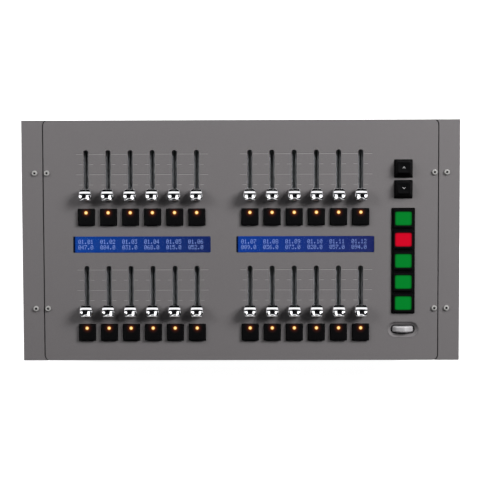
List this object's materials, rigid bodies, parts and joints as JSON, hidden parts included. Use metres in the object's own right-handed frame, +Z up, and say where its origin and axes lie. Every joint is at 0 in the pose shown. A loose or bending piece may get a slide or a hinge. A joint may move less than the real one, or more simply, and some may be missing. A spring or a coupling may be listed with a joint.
{
  "type": "lighting control desk",
  "caption": "flat stage lighting desk: two rows of slide faders with flash keys, two-line displays, screen keys, arrow keys and a thumbwheel",
  "frame": {"origin": "middle of the desk on the plane that its feet stand on", "axes": "+X to the operator's right along the width, +Y to the rear, +Z up out of the panel"},
  "size_m": [0.4826, 0.2658, 0.094],
  "materials": {
    "panel_paint": "satin",
    "tray_paint": "satin",
    "chrome_knob": "chrome plated plastic",
    "black_plastic": "satin",
    "lit_key": "gloss",
    "display_glass": "clear",
    "wheel_plastic": "satin",
    "screw_steel": "zinc plated",
    "bright_steel": "plain",
    "foot_rubber": "matte",
    "circuit_board": "solder resist",
    "ribbon_plastic": "satin"
  },
  "bodies": {
    "desk": {"base_tray": "tray_paint", "board_pillars": "bright_steel", "board_screws": "screw_steel", "control_boards": "circuit_board", "cover_screws": "screw_steel", "data_sockets": "black_plastic", "display_module_left": "circuit_board", "display_module_right": "circuit_board", "display_windows": "display_glass", "ear_left": "panel_paint", "ear_right": "panel_paint", "fader_bodies": "black_plastic", "key_switches": "black_plastic", "main_board": "circuit_board", "mains_inlet": "black_plastic", "master_board": "circuit_board", "power_supply": "bright_steel", "ribbon_cables": "ribbon_plastic", "rubber_feet": "foot_rubber", "screen_key_housing": "black_plastic", "top_panel": "panel_paint", "wheel_bracket": "bright_steel", "wheel_encoder": "black_plastic", "wheel_surround": "panel_paint"},
    "fader_01_body": {"fader_01": "chrome_knob"},
    "fader_02_body": {"fader_02": "chrome_knob"},
    "fader_03_body": {"fader_03": "chrome_knob"},
    "fader_04_body": {"fader_04": "chrome_knob"},
    "fader_05_body": {"fader_05": "chrome_knob"},
    "fader_06_body": {"fader_06": "chrome_knob"},
    "fader_07_body": {"fader_07": "chrome_knob"},
    "fader_08_body": {"fader_08": "chrome_knob"},
    "fader_09_body": {"fader_09": "chrome_knob"},
    "fader_10_body": {"fader_10": "chrome_knob"},
    "fader_11_body": {"fader_11": "chrome_knob"},
    "fader_12_body": {"fader_12": "chrome_knob"},
    "fader_13_body": {"fader_13": "chrome_knob"},
    "fader_14_body": {"fader_14": "chrome_knob"},
    "fader_15_body": {"fader_15": "chrome_knob"},
    "fader_16_body": {"fader_16": "chrome_knob"},
    "fader_17_body": {"fader_17": "chrome_knob"},
    "fader_18_body": {"fader_18": "chrome_knob"},
    "fader_19_body": {"fader_19": "chrome_knob"},
    "fader_20_body": {"fader_20": "chrome_knob"},
    "fader_21_body": {"fader_21": "chrome_knob"},
    "fader_22_body": {"fader_22": "chrome_knob"},
    "fader_23_body": {"fader_23": "chrome_knob"},
    "fader_24_body": {"fader_24": "chrome_knob"},
    "flash_keys_upper_left_body": {"flash_keys_upper_left": "black_plastic"},
    "flash_keys_upper_right_body": {"flash_keys_upper_right": "black_plastic"},
    "flash_keys_lower_left_body": {"flash_keys_lower_left": "black_plastic"},
    "flash_keys_lower_right_body": {"flash_keys_lower_right": "black_plastic"},
    "arrow_key_up_body": {"arrow_key_up": "black_plastic"},
    "arrow_key_down_body": {"arrow_key_down": "black_plastic"},
    "screen_key_1_body": {"screen_key_1": "lit_key"},
    "screen_key_2_body": {"screen_key_2": "lit_key"},
    "screen_key_3_body": {"screen_key_3": "lit_key"},
    "screen_key_4_body": {"screen_key_4": "lit_key"},
    "screen_key_5_body": {"screen_key_5": "lit_key"},
    "thumb_wheel_body": {"thumb_wheel": "wheel_plastic"}
  },
  "joints": [
    {"name": "fader_01_slide", "type": "slide", "parent": "desk", "child": "fader_01_body", "axis": [0, 1, 0], "range_m": [0, 0.045]},
    {"name": "fader_02_slide", "type": "slide", "parent": "desk", "child": "fader_02_body", "axis": [0, 1, 0], "range_m": [0, 0.045]},
    {"name": "fader_03_slide", "type": "slide", "parent": "desk", "child": "fader_03_body", "axis": [0, 1, 0], "range_m": [0, 0.045]},
    {"name": "fader_04_slide", "type": "slide", "parent": "desk", "child": "fader_04_body", "axis": [0, 1, 0], "range_m": [0, 0.045]},
    {"name": "fader_05_slide", "type": "slide", "parent": "desk", "child": "fader_05_body", "axis": [0, 1, 0], "range_m": [0, 0.045]},
    {"name": "fader_06_slide", "type": "slide", "parent": "desk", "child": "fader_06_body", "axis": [0, 1, 0], "range_m": [0, 0.045]},
    {"name": "fader_07_slide", "type": "slide", "parent": "desk", "child": "fader_07_body", "axis": [0, 1, 0], "range_m": [0, 0.045]},
    {"name": "fader_08_slide", "type": "slide", "parent": "desk", "child": "fader_08_body", "axis": [0, 1, 0], "range_m": [0, 0.045]},
    {"name": "fader_09_slide", "type": "slide", "parent": "desk", "child": "fader_09_body", "axis": [0, 1, 0], "range_m": [0, 0.045]},
    {"name": "fader_10_slide", "type": "slide", "parent": "desk", "child": "fader_10_body", "axis": [0, 1, 0], "range_m": [0, 0.045]},
    {"name": "fader_11_slide", "type": "slide", "parent": "desk", "child": "fader_11_body", "axis": [0, 1, 0], "range_m": [0, 0.045]},
    {"name": "fader_12_slide", "type": "slide", "parent": "desk", "child": "fader_12_body", "axis": [0, 1, 0], "range_m": [0, 0.045]},
    {"name": "fader_13_slide", "type": "slide", "parent": "desk", "child": "fader_13_body", "axis": [0, 1, 0], "range_m": [0, 0.045]},
    {"name": "fader_14_slide", "type": "slide", "parent": "desk", "child": "fader_14_body", "axis": [0, 1, 0], "range_m": [0, 0.045]},
    {"name": "fader_15_slide", "type": "slide", "parent": "desk", "child": "fader_15_body", "axis": [0, 1, 0], "range_m": [0, 0.045]},
    {"name": "fader_16_slide", "type": "slide", "parent": "desk", "child": "fader_16_body", "axis": [0, 1, 0], "range_m": [0, 0.045]},
    {"name": "fader_17_slide", "type": "slide", "parent": "desk", "child": "fader_17_body", "axis": [0, 1, 0], "range_m": [0, 0.045]},
    {"name": "fader_18_slide", "type": "slide", "parent": "desk", "child": "fader_18_body", "axis": [0, 1, 0], "range_m": [0, 0.045]},
    {"name": "fader_19_slide", "type": "slide", "parent": "desk", "child": "fader_19_body", "axis": [0, 1, 0], "range_m": [0, 0.045]},
    {"name": "fader_20_slide", "type": "slide", "parent": "desk", "child": "fader_20_body", "axis": [0, 1, 0], "range_m": [0, 0.045]},
    {"name": "fader_21_slide", "type": "slide", "parent": "desk", "child": "fader_21_body", "axis": [0, 1, 0], "range_m": [0, 0.045]},
    {"name": "fader_22_slide", "type": "slide", "parent": "desk", "child": "fader_22_body", "axis": [0, 1, 0], "range_m": [0, 0.045]},
    {"name": "fader_23_slide", "type": "slide", "parent": "desk", "child": "fader_23_body", "axis": [0, 1, 0], "range_m": [0, 0.045]},
    {"name": "fader_24_slide", "type": "slide", "parent": "desk", "child": "fader_24_body", "axis": [0, 1, 0], "range_m": [0, 0.045]},
    {"name": "flash_keys_upper_left_press", "type": "slide", "parent": "desk", "child": "flash_keys_upper_left_body", "axis": [0, 0, -1], "range_m": [0, 0.002], "stiffness_N_per_m": 300, "springref_m": -0.002},
    {"name": "flash_keys_upper_right_press", "type": "slide", "parent": "desk", "child": "flash_keys_upper_right_body", "axis": [0, 0, -1], "range_m": [0, 0.002], "stiffness_N_per_m": 300, "springref_m": -0.002},
    {"name": "flash_keys_lower_left_press", "type": "slide", "parent": "desk", "child": "flash_keys_lower_left_body", "axis": [0, 0, -1], "range_m": [0, 0.002], "stiffness_N_per_m": 300, "springref_m": -0.002},
    {"name": "flash_keys_lower_right_press", "type": "slide", "parent": "desk", "child": "flash_keys_lower_right_body", "axis": [0, 0, -1], "range_m": [0, 0.002], "stiffness_N_per_m": 300, "springref_m": -0.002},
    {"name": "arrow_key_up_press", "type": "slide", "parent": "desk", "child": "arrow_key_up_body", "axis": [0, 0, -1], "range_m": [0, 0.002], "stiffness_N_per_m": 300, "springref_m": -0.002},
    {"name": "arrow_key_down_press", "type": "slide", "parent": "desk", "child": "arrow_key_down_body", "axis": [0, 0, -1], "range_m": [0, 0.002], "stiffness_N_per_m": 300, "springref_m": -0.002},
    {"name": "screen_key_1_press", "type": "slide", "parent": "desk", "child": "screen_key_1_body", "axis": [0, 0, -1], "range_m": [0, 0.0018], "stiffness_N_per_m": 300, "springref_m": -0.002},
    {"name": "screen_key_2_press", "type": "slide", "parent": "desk", "child": "screen_key_2_body", "axis": [0, 0, -1], "range_m": [0, 0.0018], "stiffness_N_per_m": 300, "springref_m": -0.002},
    {"name": "screen_key_3_press", "type": "slide", "parent": "desk", "child": "screen_key_3_body", "axis": [0, 0, -1], "range_m": [0, 0.0018], "stiffness_N_per_m": 300, "springref_m": -0.002},
    {"name": "screen_key_4_press", "type": "slide", "parent": "desk", "child": "screen_key_4_body", "axis": [0, 0, -1], "range_m": [0, 0.0018], "stiffness_N_per_m": 300, "springref_m": -0.002},
    {"name": "screen_key_5_press", "type": "slide", "parent": "desk", "child": "screen_key_5_body", "axis": [0, 0, -1], "range_m": [0, 0.0018], "stiffness_N_per_m": 300, "springref_m": -0.002},
    {"name": "thumb_wheel_turn", "type": "hinge", "parent": "desk", "child": "thumb_wheel_body", "pos_m": [0.1792, -0.0987, 0.0708], "axis": [0, 1, 0], "continuous": true}
  ]
}
